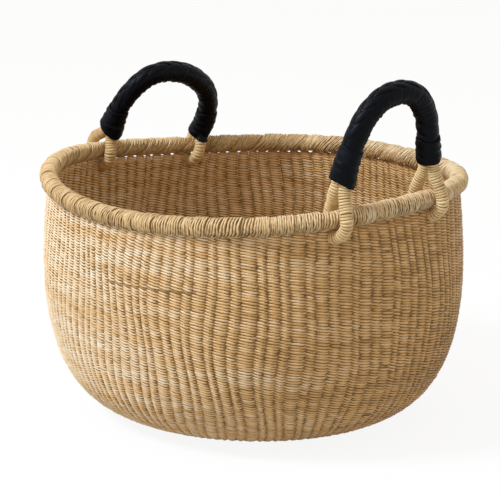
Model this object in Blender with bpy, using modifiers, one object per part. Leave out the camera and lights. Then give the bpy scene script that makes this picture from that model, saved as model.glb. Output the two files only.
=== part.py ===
"""Oval basket of woven straw, with a bound rim and two swinging handles covered in leather.

Lengths are in metres, +Z is up, and the origin is the centre of the underside. +X is the basket's right
and +Y its back. Each handle is modelled in a frame of its own: X outward, Y along the line that it
swings about, and Z up the arch.
"""

import math
from collections import namedtuple

import bmesh
import bpy
from mathutils import Matrix, Vector

# Clearance between pieces that touch
fit_gap = 0.0003

# Rim, measured at the centre of its round section
rim_half_length = 0.240
rim_half_width = 0.2225
rim_height = 0.2741
rim_squareness = 2.26
rim_radius = 0.0108
rim_wave = 0.0045
# How the rim's height wanders: repeats round the rim, with a cosine and a sine share of rim_wave
rim_wave_shares = {1: (0.25, 0.75), 2: (0.60, 1.00), 3: (0.25, -0.40), 4: (-0.15, 0.30)}
binding_thickness = 0.0016
bundle_swell = 0.0004
bundle_count = 58
core_sides = 6

# Wall and base
wall_thickness = 0.007
light_gap = 0.004
belly_swell = 0.038
top_draw_in = 0.036
belly_roundness = 2.85
base_half_length = 0.0985
base_thickness = 0.007
# Flat ring of the wall that rests on the floor round the base
rest_width = 0.007
base_squareness = 2.0
wall_columns = 58
wall_rows = 11

# Stakes, where they cross from the wall to the rim
stake_count = 116
stake_half_width = 0.0018
stake_root = 0.003
stake_side_room = 0.001

# Parts that both handles share
rope_radius = 0.0046
leg_radius = 0.0066
loop_radius = 0.0193
loop_clearance = 0.0007
# How much thinner the grip is at its ends than in its middle
grip_taper = 0.0012
leather_thickness = 0.0012
packing_radius = 0.0030
cuff_thickness = 0.0010
wrap_tuck = 0.010
rope_settle = 0.010
lace_half_width = 0.0045
lace_half_thickness = 0.0008
plait_length = 0.010
lace_end_room = 0.004

# Right handle: y of its middle, half the distance between its feet, height of its arch and its lean
right_middle = 0.0076
right_half_spacing = 0.0685
right_arch_height = 0.132
right_lean = math.radians(10)
right_grip_radius = 0.0129
# Heights of the cuffs' mouths above the rim's centre, and the cuffs' lengths
right_front_mouth = 0.039
right_back_mouth = 0.0435
right_front_cuff = 0.040
right_back_cuff = 0.030
# The arch from foot to foot, as shares of the half spacing and of the arch's height
right_arch_shares = (
    (-1.00, 0.00), (-0.99, 0.08), (-0.93, 0.31), (-0.86, 0.49), (-0.72, 0.69), (-0.54, 0.85), (-0.25, 0.97),
    (0.05, 1.00), (0.30, 0.98), (0.53, 0.90), (0.69, 0.76), (0.77, 0.62), (0.82, 0.48), (0.88, 0.31),
    (0.98, 0.10), (1.00, 0.00))

# Left handle, whose own Y runs from its back foot to its front foot
left_middle = 0.0087
left_half_spacing = 0.0647
left_arch_height = 0.116
left_lean = math.radians(-28)
left_grip_radius = 0.0125
left_front_mouth = 0.028
left_back_mouth = 0.0215
left_front_cuff = 0.034
left_back_cuff = 0.032
left_arch_shares = (
    (-1.00, 0.00), (-1.02, 0.08), (-1.11, 0.30), (-1.05, 0.53), (-0.90, 0.71), (-0.66, 0.85), (-0.30, 0.96),
    (0.10, 1.00), (0.43, 0.97), (0.67, 0.86), (0.85, 0.69), (0.94, 0.51), (0.96, 0.33), (0.99, 0.10),
    (1.00, 0.00))

# Spacing of the points along the handles' curves
grip_step = 0.014
leg_step = 0.006
loop_step = math.radians(20)
# Sides of the sleeves' and cuffs' round sections
sleeve_sides = 12

straw_color = "C9A676"
binding_color = "C4A071"
wrap_color = "DDC492"
packing_color = "BFA068"
leather_color = "14151A"


# Middle line of a handle, half the distance between its feet, heights of its two mouths and its radius
Arch = namedtuple("Arch", "path half_spacing mouths radius")


def linear_color(hex_color):
    """Turns an sRGB hex colour into the linear one that a material takes."""
    shares = [int(hex_color[place:place + 2], 16) / 255 for place in (0, 2, 4)]
    return [share / 12.92 if share <= 0.04045 else ((share + 0.055) / 1.055) ** 2.4 for share in shares] + [1]


def clear_scene():
    """Empties the file of objects and of the collections that this script makes."""
    for item in list(bpy.data.objects):
        bpy.data.objects.remove(item, do_unlink=True)
    for group in list(bpy.data.collections):
        bpy.data.collections.remove(group)


def new_collection(name):
    """Adds a collection to the scene."""
    group = bpy.data.collections.new(name)
    bpy.context.scene.collection.children.link(group)
    return group


def finish(item, group, hex_color, roughness, parent=None):
    """Puts an object in its collection, with its own material and its parent."""
    group.objects.link(item)
    item.parent = parent
    material = bpy.data.materials.new(item.name + "_finish")
    material.use_nodes = True
    shader = material.node_tree.nodes["Principled BSDF"]
    shader.inputs["Base Color"].default_value = linear_color(hex_color)
    shader.inputs["Roughness"].default_value = roughness
    shader.inputs["Metallic"].default_value = 0
    item.data.materials.clear()
    item.data.materials.append(material)
    return item


def oval_reach(angle, half_length, half_width, squareness):
    """Distance from the centre to an oval's edge in the direction of an angle."""
    across = abs(math.cos(angle) / half_length) ** squareness
    along = abs(math.sin(angle) / half_width) ** squareness
    return (across + along) ** (-1 / squareness)


def rim_top(angle):
    """Height of the rim's centre at an angle round the basket."""
    wave = sum(cosine * math.cos(turns * angle) + sine * math.sin(turns * angle)
               for turns, (cosine, sine) in rim_wave_shares.items())
    return rim_height + rim_wave * wave


def rim_point(angle):
    """Centre of the rim's section at an angle round the basket."""
    reach = oval_reach(angle, rim_half_length, rim_half_width, rim_squareness)
    return Vector((reach * math.cos(angle), reach * math.sin(angle), rim_top(angle)))


def rim_outward(angle):
    """Level direction that points straight out of the rim."""
    point = rim_point(angle)
    power = rim_squareness - 1
    across = math.copysign(abs(point.x / rim_half_length) ** power / rim_half_length, point.x)
    along = math.copysign(abs(point.y / rim_half_width) ** power / rim_half_width, point.y)
    return Vector((across, along, 0)).normalized()


def half_length_at(depth_share):
    """Half length of the wall's outside, where depth_share runs from 0 at the rim to 1 at the floor."""
    fullness = (1 - depth_share ** belly_roundness) ** (1 / belly_roundness)
    lowest = base_half_length + rest_width
    widest = rim_half_length + belly_swell
    return lowest + (widest - lowest) * fullness - top_draw_in * (1 - depth_share)


def wall_point(angle, depth_share, half_length):
    """Point of the wall's outside, on an oval of the given half length."""
    half_width = half_length * rim_half_width / rim_half_length
    squareness = rim_squareness + (base_squareness - rim_squareness) * depth_share
    reach = oval_reach(angle, half_length, half_width, squareness)
    return Vector((reach * math.cos(angle), reach * math.sin(angle), (1 - depth_share) * rim_top(angle)))


def spun(points, closed, steps):
    """Mesh of a profile of (radius, height) points, turned once round Z."""
    shape = bmesh.new()
    corners = [shape.verts.new((radius, 0, height)) for radius, height in points]
    edges = [shape.edges.new(pair) for pair in zip(corners, corners[1:])]
    if closed:
        edges.append(shape.edges.new((corners[-1], corners[0])))
    bmesh.ops.spin(shape, geom=corners + edges, axis=(0, 0, 1), cent=(0, 0, 0), steps=steps,
                   angle=math.tau, use_merge=True)
    return shape


def mesh_object(name, shape):
    """Makes an object of a bmesh, shaded smooth up to its sharp edges."""
    mesh = bpy.data.meshes.new(name)
    shape.to_mesh(mesh)
    shape.free()
    mesh.shade_smooth()
    mesh.set_sharp_from_angle(angle=math.radians(40))
    return bpy.data.objects.new(name, mesh)


def solidify(item, thickness):
    """Gives an open surface its thickness, on its inner side."""
    shell = item.modifiers.new("Thickness", "SOLIDIFY")
    shell.thickness = thickness
    shell.offset = -1
    shell.use_even_offset = True


def boolean(item, other, operation):
    """Joins a mesh to an object, or cuts it out."""
    change = item.modifiers.new(operation.title(), "BOOLEAN")
    change.operation = operation
    change.solver = "EXACT"
    change.object = other


def make_wall(group):
    """Woven wall, an open shell from the base's edge to just under the rim."""
    top_share = (rim_radius + light_gap) / rim_height
    first = math.asin(top_share ** (belly_roundness / 2))
    turns = [first + (math.pi / 2 - first) * row / wall_rows for row in range(wall_rows + 1)]
    shares = [math.sin(turn) ** (2 / belly_roundness) for turn in turns]
    profile = [(half_length_at(share), (1 - share) * rim_height) for share in shares[:-1]]
    profile += [(base_half_length + rest_width, 0), (base_half_length, 0)]
    shape = spun(profile, False, wall_columns)
    for corner in shape.verts:
        angle = math.atan2(corner.co.y, corner.co.x)
        half_length = math.hypot(corner.co.x, corner.co.y)
        corner.co = wall_point(angle, 1 - corner.co.z / rim_height, half_length)
    bmesh.ops.recalc_face_normals(shape, faces=shape.faces)
    outermost = max(shape.faces, key=lambda face: face.calc_center_median().x)
    if outermost.normal.x < 0:
        bmesh.ops.reverse_faces(shape, faces=shape.faces)
    wall = finish(mesh_object("wall_weave", shape), group, straw_color, 0.75)
    solidify(wall, wall_thickness)
    return wall


def make_base(group):
    """Woven base, a flat oval plate that the wall grows out of."""
    half_length = base_half_length - fit_gap
    shape = bmesh.new()
    bmesh.ops.create_circle(shape, cap_ends=True, segments=wall_columns, radius=half_length)
    stretch = (base_half_length * rim_half_width / rim_half_length - fit_gap) / half_length
    for corner in shape.verts:
        angle = math.atan2(corner.co.y, corner.co.x)
        reach = oval_reach(angle, half_length, half_length * stretch, base_squareness)
        corner.co = Vector((reach * math.cos(angle), reach * math.sin(angle), 0))
    plate = bmesh.ops.extrude_face_region(shape, geom=shape.faces[:])
    raised = [corner for corner in plate["geom"] if isinstance(corner, bmesh.types.BMVert)]
    bmesh.ops.translate(shape, vec=(0, 0, base_thickness), verts=raised)
    bmesh.ops.recalc_face_normals(shape, faces=shape.faces)
    return finish(mesh_object("base_weave", shape), group, straw_color, 0.75)


def rim_mesh(section, rings, swell=0):
    """Bends a closed section of (outward, upward) points round the rim, with a swell at each bundle."""
    shape = spun([(rim_half_length + out, up) for out, up in section], True, rings)
    for corner in shape.verts:
        angle = math.atan2(corner.co.y, corner.co.x)
        out = math.hypot(corner.co.x, corner.co.y) - rim_half_length
        up = corner.co.z
        distance = math.hypot(out, up)
        if distance > rim_radius - binding_thickness / 2:
            stretch = 1 + swell * math.cos(bundle_count * angle) / distance
            out, up = out * stretch, up * stretch
        corner.co = rim_point(angle) + out * rim_outward(angle) + Vector((0, 0, up))
    bmesh.ops.recalc_face_normals(shape, faces=shape.faces)
    return shape


def make_rim_core(group):
    """Straw bundle that runs all round the rim."""
    radius = core_radius()
    turns = [math.tau * side / core_sides for side in range(core_sides)]
    section = [(radius * math.cos(turn), radius * math.sin(turn)) for turn in turns]
    shape = rim_mesh(section, bundle_count)
    return finish(mesh_object("rim_core", shape), group, packing_color, 0.8)


def core_radius():
    """Radius of the rim's core, which the binding fits all along the core's straight facets."""
    facet_sag = rim_half_length * (1 - math.cos(math.pi / bundle_count))
    return rim_radius - binding_thickness - fit_gap - facet_sag


def make_rim_binding(group):
    """Straw binding of the rim, open along its underside where the stakes come through."""
    steps = 8
    slot = math.asin((stake_half_width + fit_gap * 2) / (rim_radius - binding_thickness))
    start = -math.pi / 2 + slot
    sweep = math.tau - 2 * slot
    turns = [start + sweep * step / steps for step in range(steps + 1)]
    inside = (rim_radius - binding_thickness) / math.cos(sweep / steps / 2)
    section = [(rim_radius * math.cos(turn), rim_radius * math.sin(turn)) for turn in turns]
    section += [(inside * math.cos(turn), inside * math.sin(turn)) for turn in reversed(turns)]
    shape = rim_mesh(section, 2 * bundle_count, bundle_swell)
    return finish(mesh_object("rim_binding", shape), group, binding_color, 0.7)


def make_stakes(wall, feet, cutters):
    """Joins the stakes' tops to the wall, which they leave to reach the rim's core."""
    shape = bmesh.new()
    half_notch = leg_radius + loop_clearance + stake_half_width + stake_side_room
    top = -core_radius() * math.cos(math.pi / core_sides) - fit_gap
    bottom = -rim_radius - light_gap - stake_root
    for stake in range(stake_count):
        angle = math.tau * (stake + 0.5) / stake_count
        point = rim_point(angle)
        if min(abs(point.y - foot.y) + abs(point.x - foot.x) for foot in feet) < half_notch:
            continue
        place = Matrix.Translation(point + Vector((0, 0, (top + bottom) / 2)))
        turn = rim_outward(angle).to_track_quat("X", "Z").to_matrix().to_4x4()
        size = Matrix.Diagonal((2 * stake_half_width, 2 * stake_half_width, top - bottom, 1))
        bmesh.ops.create_cube(shape, size=1, matrix=place @ turn @ size)
    stakes = mesh_object("stake_tops", shape)
    cutters.objects.link(stakes)
    hide_guide(stakes)
    boolean(wall, stakes, "UNION")


def hide_guide(item):
    """Leaves an object out of the renders."""
    item.hide_render = True
    item.display_type = "WIRE"


def foot_point(side, y):
    """Point of the rim's centre at a given y, on the right side (1) or the left one (-1)."""
    share = 1 - abs(y / rim_half_width) ** rim_squareness
    x = side * rim_half_length * share ** (1 / rim_squareness)
    return rim_point(math.atan2(y, x))


def make_hinge(name, group, feet, lean):
    """Empty on the line that a handle swings about, turned to the handle's own frame."""
    first, last = feet
    along = (last - first).normalized()
    outward = along.cross(Vector((0, 0, 1))).normalized()
    upward = outward.cross(along)
    axes = Matrix((outward, along, upward)).transposed().to_4x4()
    hinge = bpy.data.objects.new(name, None)
    hinge.empty_display_size = loop_radius
    group.objects.link(hinge)
    hinge.matrix_world = Matrix.Translation((first + last) / 2) @ axes @ Matrix.Rotation(lean, 4, "Y")
    return hinge


def smooth_path(points, steps=24):
    """Dense points of a smooth curve through the given ones."""
    ends = [2 * points[0] - points[1]] + points + [2 * points[-1] - points[-2]]
    path = []
    for before, start, stop, after in zip(ends, ends[1:], ends[2:], ends[3:]):
        for step in range(steps):
            t = step / steps
            path.append(0.5 * (2 * start + (stop - before) * t
                               + (2 * before - 5 * start + 4 * stop - after) * t ** 2
                               + (3 * start - before - 3 * stop + after) * t ** 3))
    return path + [points[-1]]


def evenly(path, step):
    """Points at even distances along a path, both ends among them."""
    travelled = [0]
    for start, stop in zip(path, path[1:]):
        travelled.append(travelled[-1] + (stop - start).length)
    count = max(2, round(travelled[-1] / step))
    result = []
    index = 0
    for number in range(count + 1):
        goal = travelled[-1] * number / count
        while index < len(path) - 2 and travelled[index + 1] < goal:
            index += 1
        span = travelled[index + 1] - travelled[index]
        result.append(path[index].lerp(path[index + 1], (goal - travelled[index]) / span))
    return result


def arch_between(arch, low, high):
    """Stretch of the arch from one height on its first leg to another on its last leg."""
    top = max(range(len(arch)), key=lambda place: arch[place].z)
    first = next(place for place in range(top) if arch[place].z >= low)
    last = next(place for place in range(len(arch) - 1, top, -1) if arch[place].z >= high)
    return arch[first:last + 1]


def leg_stretch(arch, low, high, leg):
    """Stretch of one leg of the arch between two heights, for the first leg (-1) or the last (1)."""
    path = arch if leg < 0 else arch[::-1]
    top = max(range(len(path)), key=lambda place: path[place].z)
    return [point for point in path[:top] if low <= point.z <= high]


def leg_lean(mouth):
    """Angle above the hinge's level at which a leg leaves the loop, to meet its pair at the cuff's mouth."""
    half_pair = leg_radius + fit_gap / 2
    reach = math.hypot(half_pair, mouth)
    return math.atan2(mouth, half_pair) - math.acos(loop_radius / reach)


def strand_offset(height, mouth):
    """Distance of a leg or strand from the arch's plane, at a height above the hinge."""
    lean = leg_lean(mouth)
    half_pair = leg_radius + fit_gap / 2
    start_offset = loop_radius * math.cos(lean)
    start_height = loop_radius * math.sin(lean)
    if height < mouth:
        t = max(0, (height - start_height) / (mouth - start_height))
        drop = math.tan(lean) * (mouth - start_height)
        return (start_offset * (2 * t ** 3 - 3 * t ** 2 + 1) + half_pair * (3 * t ** 2 - 2 * t ** 3)
                - drop * (t ** 3 - 2 * t ** 2 + t))
    settled = rope_radius + fit_gap / 2
    t = min(1, max(0, (height - mouth - wrap_tuck) / rope_settle))
    return half_pair + (settled - half_pair) * (3 * t ** 2 - 2 * t ** 3)


def beside_arch(path, face, mouths):
    """Moves a stretch of the arch to its outer face (1) or inner face (-1), where a strand runs."""
    return [point + Vector((face * strand_offset(point.z, mouths[point.y > 0]), 0, 0)) for point in path]


def loop_points(foot_y, start_face, mouth):
    """Turn of the rope under the rim, from the leg on one face to the leg on the other."""
    lean = leg_lean(mouth)
    count = math.ceil((math.pi + 2 * lean) / loop_step)
    turns = [lean - (math.pi + 2 * lean) * place / count for place in range(count + 1)]
    return [Vector((start_face * loop_radius * math.cos(turn), foot_y, loop_radius * math.sin(turn)))
            for turn in turns]


def leg_points(arch, leg, face):
    """One leg from just above its loop up to where its wraps end."""
    mouth = arch.mouths[leg > 0]
    low = loop_radius * math.sin(leg_lean(mouth)) + leg_radius / 2
    stretch = leg_stretch(arch.path, low, mouth + wrap_tuck, leg)
    return beside_arch(evenly(stretch, leg_step), face, arch.mouths)


def curve_object(name, points, radius, resolution, caps, shares=None):
    """Round tube along a path, with a share of its radius at each point."""
    curve = bpy.data.curves.new(name, "CURVE")
    curve.dimensions = "3D"
    curve.bevel_depth = radius
    curve.bevel_resolution = resolution
    curve.use_fill_caps = caps
    spline = curve.splines.new("POLY")
    spline.points.add(len(points) - 1)
    for place, point in enumerate(points):
        spline.points[place].co = (*point, 1)
        spline.points[place].radius = shares[place] if shares else 1
    spline.use_smooth = True
    return bpy.data.objects.new(name, curve)


def shell_object(name, points, radius, resolution, thickness, shares=None):
    """Tube with open ends and a wall of its own, along a path."""
    curve = curve_object(name + "_path", points, radius, resolution, False, shares)
    bpy.context.scene.collection.objects.link(curve)
    evaluated = curve.evaluated_get(bpy.context.evaluated_depsgraph_get())
    mesh = bpy.data.meshes.new_from_object(evaluated)
    bpy.data.objects.remove(curve, do_unlink=True)
    shape = bmesh.new()
    shape.from_mesh(mesh)
    bpy.data.meshes.remove(mesh)
    bmesh.ops.remove_doubles(shape, verts=shape.verts, dist=fit_gap / 10)
    tube = mesh_object(name, shape)
    solidify(tube, thickness)
    return tube


def make_rope(name, arch):
    """Rope of one handle: twice over the arch, and under the rim in a loop at each foot."""
    tops = [mouth + wrap_tuck for mouth in arch.mouths]
    grip = evenly(arch_between(arch.path, *tops), grip_step)[1:-1]
    middle = len(grip) // 2
    points = beside_arch(grip[middle:], 1, arch.mouths)
    points += foot_points(arch, 1, 1)
    points += beside_arch(grip[::-1], -1, arch.mouths)
    points += foot_points(arch, -1, -1)
    points += beside_arch(grip[:middle], 1, arch.mouths)
    # The two ends meet in the middle of the grip
    points.append(points[-1].lerp(points[0], 1 - fit_gap / (points[-1] - points[0]).length))
    return curve_object(name, points, rope_radius, 1, True)


def foot_points(arch, leg, face):
    """Both legs and the loop of one foot, from the leg on the given face to the leg on the other."""
    down = leg_points(arch, leg, face)[::-1]
    turn = loop_points(leg * arch.half_spacing, face, arch.mouths[leg > 0])
    return down + turn + leg_points(arch, leg, -face)


def make_wrap(name, arch, leg):
    """Straw wound round the rope of one foot, from cuff to cuff through the loop."""
    inside = (rope_radius + fit_gap) / math.cos(math.pi / 8)
    return shell_object(name, foot_points(arch, leg, 1), leg_radius, 2, leg_radius - inside)


def sleeve_lows(arch):
    """Heights above the hinge at which the sleeve and the packing start on each leg."""
    return [mouth + wrap_tuck + rope_settle + fit_gap for mouth in arch.mouths]


def sleeve_path(arch):
    """Points along the middle of the sleeve."""
    return evenly(arch_between(arch.path, *sleeve_lows(arch)), grip_step)


def make_packing(name, arch, side):
    """Straw bundle along the two strands in the grip, on the arch's outside (1) or inside (-1)."""
    settled = rope_radius + fit_gap / 2
    reach = rope_radius + packing_radius + fit_gap
    lift = math.sqrt(reach ** 2 - settled ** 2)
    return curve_object(name, shifted(sleeve_path(arch)[1:-1], side * lift), packing_radius, 1, True)


def shifted(path, lift):
    """Moves a path in the arch's plane, away from the space under the arch."""
    moved = []
    for place, point in enumerate(path):
        before = path[max(0, place - 1)]
        after = path[min(len(path) - 1, place + 1)]
        along = (after - before).normalized()
        moved.append(point + lift * Vector((0, -along.z, along.y)))
    return moved


def make_sleeve(name, arch):
    """Leather sleeve of the grip."""
    path = sleeve_path(arch)
    shares = [grip_share(arch, place / (len(path) - 1)) for place in range(len(path))]
    return shell_object(name, path, arch.radius, sleeve_sides // 2 - 2, leather_thickness, shares)


def grip_share(arch, place_share):
    """Share of the grip's radius, where place_share runs from 0 at one end of the sleeve to 1 at the other."""
    return 1 - grip_taper / arch.radius * (2 * place_share - 1) ** 2


def make_cuff(name, arch, leg, length):
    """Leather band over the top of one foot's wraps, with an oval mouth round the pair of legs."""
    mouth = arch.mouths[leg > 0]
    path = evenly(leg_stretch(arch.path, mouth, mouth + length, leg), grip_step)
    facing = math.cos(math.pi / sleeve_sides)
    radius = (arch.radius - grip_taper / 2 + fit_gap) / facing + cuff_thickness
    cuff = shell_object(name, path, radius, sleeve_sides // 2 - 2, cuff_thickness)
    pair = (2 * leg_radius + fit_gap * 2) / facing + cuff_thickness
    for corner in cuff.data.vertices:
        rise = min(1, max(0, (corner.co.z - mouth - wrap_tuck) / (length - wrap_tuck)))
        corner.co.x *= 1 + (max(1, pair / radius) - 1) * (1 - rise)
    return cuff


def make_lacing(name, arch, cuffs):
    """Plaited strip of leather that closes the sleeve along the outside of the arch."""
    lows = [mouth + length + lace_end_room for mouth, length in zip(arch.mouths, cuffs)]
    path = evenly(arch_between(arch.path, *lows), plait_length / 2)
    path = shifted(path, arch.radius + fit_gap + lace_half_thickness)
    # The strip is drawn flat and stood up, so that its width lies across the arch
    flat = [Vector((point.y, point.z, 0)) for point in path]
    shares = [1 if place % 2 else 0.75 for place in range(len(flat))]
    strip = curve_object(name, flat, lace_half_thickness, 0, True, shares)
    strip.data.twist_mode = "Z_UP"
    strip.data.extrude = lace_half_width - lace_half_thickness
    strip.matrix_local = Matrix(((0, 0, 1, 0), (1, 0, 0, 0), (0, 1, 0, 0), (0, 0, 0, 1)))
    return strip


def make_notches(wall, hinge, half_spacing, cutters):
    """Cuts the two slots in the wall that a handle's loops pass through."""
    for foot_y in (-half_spacing, half_spacing):
        bpy.ops.mesh.primitive_torus_add(major_radius=loop_radius, minor_radius=leg_radius + loop_clearance,
                                         major_segments=32, minor_segments=12)
        ring = bpy.context.object
        for owner in list(ring.users_collection):
            owner.objects.unlink(ring)
        cutters.objects.link(ring)
        ring.name = hinge.name + "_notch"
        ring.parent = hinge
        ring.matrix_local = Matrix.Translation((0, foot_y, 0)) @ Matrix.Rotation(math.pi / 2, 4, "X")
        hide_guide(ring)
        boolean(wall, ring, "DIFFERENCE")


def make_handle(side_name, hinge, arch, cuffs, group):
    """All the pieces of one handle, with the cuffs' lengths in the order of the handle's own Y."""
    leg_names = ("front", "back") if side_name == "right" else ("back", "front")
    stem = side_name + "_handle_"
    pieces = [(make_rope(stem + "rope", arch), packing_color, 0.8)]
    for leg, leg_name, length in zip((-1, 1), leg_names, cuffs):
        pieces.append((make_wrap(f"{stem}{leg_name}_wrap", arch, leg), wrap_color, 0.7))
        pieces.append((make_cuff(f"{stem}{leg_name}_cuff", arch, leg, length), leather_color, 0.35))
    for side, place in ((1, "upper"), (-1, "lower")):
        pieces.append((make_packing(f"{stem}{place}_packing", arch, side), packing_color, 0.8))
    pieces.append((make_sleeve(stem + "sleeve", arch), leather_color, 0.35))
    pieces.append((make_lacing(stem + "lacing", arch, cuffs), leather_color, 0.4))
    for item, hex_color, roughness in pieces:
        finish(item, group, hex_color, roughness, hinge)


def make_arch(feet, height, shares, mouths, radius):
    """Middle line of a handle in its own frame, between two feet given in the order of its own Y."""
    half_spacing = (feet[1] - feet[0]).length / 2
    path = smooth_path([Vector((0, across * half_spacing, up * height)) for across, up in shares])
    return Arch(path, half_spacing, mouths, radius)


def main():
    clear_scene()
    group = new_collection("bolga_basket")
    cutters = new_collection("cutters")
    wall = make_wall(group)
    make_base(group)
    make_rim_core(group)
    make_rim_binding(group)
    # Each handle's feet in the order of its own Y
    right_feet = [foot_point(1, right_middle + end * right_half_spacing) for end in (-1, 1)]
    left_feet = [foot_point(-1, left_middle - end * left_half_spacing) for end in (-1, 1)]
    make_stakes(wall, right_feet + left_feet, cutters)
    right_hinge = make_hinge("right_handle_hinge", group, right_feet, right_lean)
    left_hinge = make_hinge("left_handle_hinge", group, left_feet, left_lean)
    right_arch = make_arch(right_feet, right_arch_height, right_arch_shares,
                           (right_front_mouth, right_back_mouth), right_grip_radius)
    left_arch = make_arch(left_feet, left_arch_height, left_arch_shares,
                          (left_back_mouth, left_front_mouth), left_grip_radius)
    make_notches(wall, right_hinge, right_arch.half_spacing, cutters)
    make_notches(wall, left_hinge, left_arch.half_spacing, cutters)
    make_handle("right", right_hinge, right_arch, (right_front_cuff, right_back_cuff), group)
    make_handle("left", left_hinge, left_arch, (left_back_cuff, left_front_cuff), group)


main()
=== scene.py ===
"""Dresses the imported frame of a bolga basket: woven wall and base, bound rim and leather-covered handles."""
import math
from collections import namedtuple

import bmesh
import bpy
import numpy as np
from bpy.props import FloatProperty, FloatVectorProperty, IntProperty, PointerProperty
from mathutils import Matrix


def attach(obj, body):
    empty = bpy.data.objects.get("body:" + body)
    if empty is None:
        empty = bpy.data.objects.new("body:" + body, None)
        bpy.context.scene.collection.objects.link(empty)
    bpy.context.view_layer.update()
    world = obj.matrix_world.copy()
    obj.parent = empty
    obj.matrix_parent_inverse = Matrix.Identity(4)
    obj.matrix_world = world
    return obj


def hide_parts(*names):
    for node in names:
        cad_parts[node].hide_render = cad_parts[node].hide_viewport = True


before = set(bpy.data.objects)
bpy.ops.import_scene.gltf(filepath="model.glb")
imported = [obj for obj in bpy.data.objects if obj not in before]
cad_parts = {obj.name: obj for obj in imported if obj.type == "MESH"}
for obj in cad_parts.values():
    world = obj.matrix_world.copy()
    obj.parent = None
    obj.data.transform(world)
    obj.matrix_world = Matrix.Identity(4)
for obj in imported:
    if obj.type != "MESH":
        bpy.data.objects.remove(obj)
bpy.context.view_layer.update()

bl_info = {
    "name": "Bolga basket",
    "version": (1, 0, 0),
    "blender": (4, 5, 0),
    "location": "3D View > Sidebar > Basket",
    "description": "Weaves a basket of straw with two leather-covered handles round its frame",
    "category": "Object",
}

MM = 0.001
# Direction in which the weave leaves the widest gap under the rim
OPEN_SIDE = math.radians(170)
# Direction in which the stitches slant most
STEEP_SIDE = math.radians(-90)
# Direction of the side and top that the straw is painted paler towards, as painted light from the lamp's side
PAINTED_LIGHT_SIDE = (-0.59, -0.81, 0.3)
WORN_SHEEN_LEATHER = "131319"

# How far a row of the weave wanders up and down, and a single stitch in it
ROW_WANDER = 0.35 * MM
STITCH_WANDER = 0.14 * MM
# Distances from the base's centre between which the ribs of the weave grow to their full depth
SHALLOW_PLACE = 100 * MM
DEEP_PLACE = 220 * MM
# Row with a brown straw, with its middle and length as shares of the turn round the basket
BROWN_ROW = 122
BROWN_MIDDLE = 0.820
BROWN_SHARE = 0.080

# The basket's own sizes, in metres, as in its solids
STAKES = 116
RIM_HALF_LENGTH = 0.240
RIM_HALF_WIDTH = 0.2225
RIM_HEIGHT = 0.2741
RIM_SQUARENESS = 2.26
RIM_RADIUS = 0.0108
RIM_WAVE = 0.0045
RIM_WAVE_SHARES = {1: (0.25, 0.75), 2: (0.60, 1.00), 3: (0.25, -0.40), 4: (-0.15, 0.30)}
WALL_THICKNESS = 0.007
LIGHT_GAP = 0.004
BELLY_SWELL = 0.038
TOP_DRAW_IN = 0.036
BELLY_ROUNDNESS = 2.85
BASE_HALF_LENGTH = 0.0985
REST_WIDTH = 0.007
BASE_SQUARENESS = 2.0
LEG_RADIUS = 0.0066
ROPE_RADIUS = 0.0046
LOOP_RADIUS = 0.0193
GRIP_TAPER = 0.0012
WRAP_TUCK = 0.010
ROPE_SETTLE = 0.010
FIT_GAP = 0.0003
# Outer radius of the straw wound round a leg
WRAP_RADIUS = 0.0072

# Points along the wall's and the base's profile, and along a leg or a loop of a handle
WALL_POINTS = 400
BASE_POINTS = 60
FOOT_POINTS = 60
# Sides of a split straw and of a stake, and the most triangles that one piece of the weave may have
STRAW_SIDES = 5
STAKE_SIDES = 8
PIECE_TRIANGLES = 190000
# Girths of straw, rope and leather on their own maps
SPLIT_GIRTH = 8 * MM
STAKE_GIRTH = 16 * MM
ROPE_GIRTH = 30 * MM
CORE_GIRTH = 60 * MM
STRIP_GIRTH = 20 * MM
SLEEVE_GIRTH = 80 * MM

# One foot of a handle: height of its cuff's mouth in the solids and the cuff's length, then how much higher
# the mouth's level part lies, how deep its tip hangs below that, at which turn round the leg and how pointed,
# how much the mouth flares, and how far the outer leg, the inner leg and the loop's bottom lean along the rim
Foot = namedtuple("Foot", "mouth cuff rise dip low_turn sharpness flare outer_skew inner_skew low_skew")
# One handle: its side of the basket, y of its middle, half spacing of its feet, height and lean of its arch,
# radius of its grip, its feet, and its arch in shares of the half spacing and the height
Handle = namedtuple("Handle", "side middle half_spacing height lean radius feet arch_shares")
RIGHT_HANDLE = Handle(
    1, 0.0076, 0.0685, 0.132, math.radians(10), 0.0129,
    (Foot(0.039, 0.040, 0.0055, 0.0056, math.radians(100), 5, 0.0018, 0, 0.0085, -0.004),
     Foot(0.0435, 0.030, 0.0045, 0.0025, math.radians(148), 2, 0.0008, 0, -0.007, -0.003)),
    ((-1.00, 0.00), (-0.99, 0.08), (-0.93, 0.31), (-0.86, 0.49), (-0.72, 0.69), (-0.54, 0.85), (-0.25, 0.97),
     (0.05, 1.00), (0.30, 0.98), (0.53, 0.90), (0.69, 0.76), (0.77, 0.62), (0.82, 0.48), (0.88, 0.31),
     (0.98, 0.10), (1.00, 0.00)))
# The left handle's own Y runs from its back foot to its front foot
LEFT_HANDLE = Handle(
    -1, 0.0087, 0.0647, 0.116, math.radians(-28), 0.0125,
    (Foot(0.0215, 0.032, 0.0020, 0.0085, math.radians(-150), 0.7, 0.0004, -0.014, 0, 0),
     Foot(0.028, 0.034, 0.0105, 0.0115, math.radians(-90), 1.3, 0.0030, 0.003, 0, 0)),
    ((-1.00, 0.00), (-1.02, 0.08), (-1.11, 0.30), (-1.05, 0.53), (-0.90, 0.71), (-0.66, 0.84), (-0.30, 0.95),
     (0.10, 0.988), (0.43, 0.958), (0.67, 0.86), (0.85, 0.69), (0.94, 0.51), (0.96, 0.33), (0.99, 0.10),
     (1.00, 0.00)))


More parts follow.
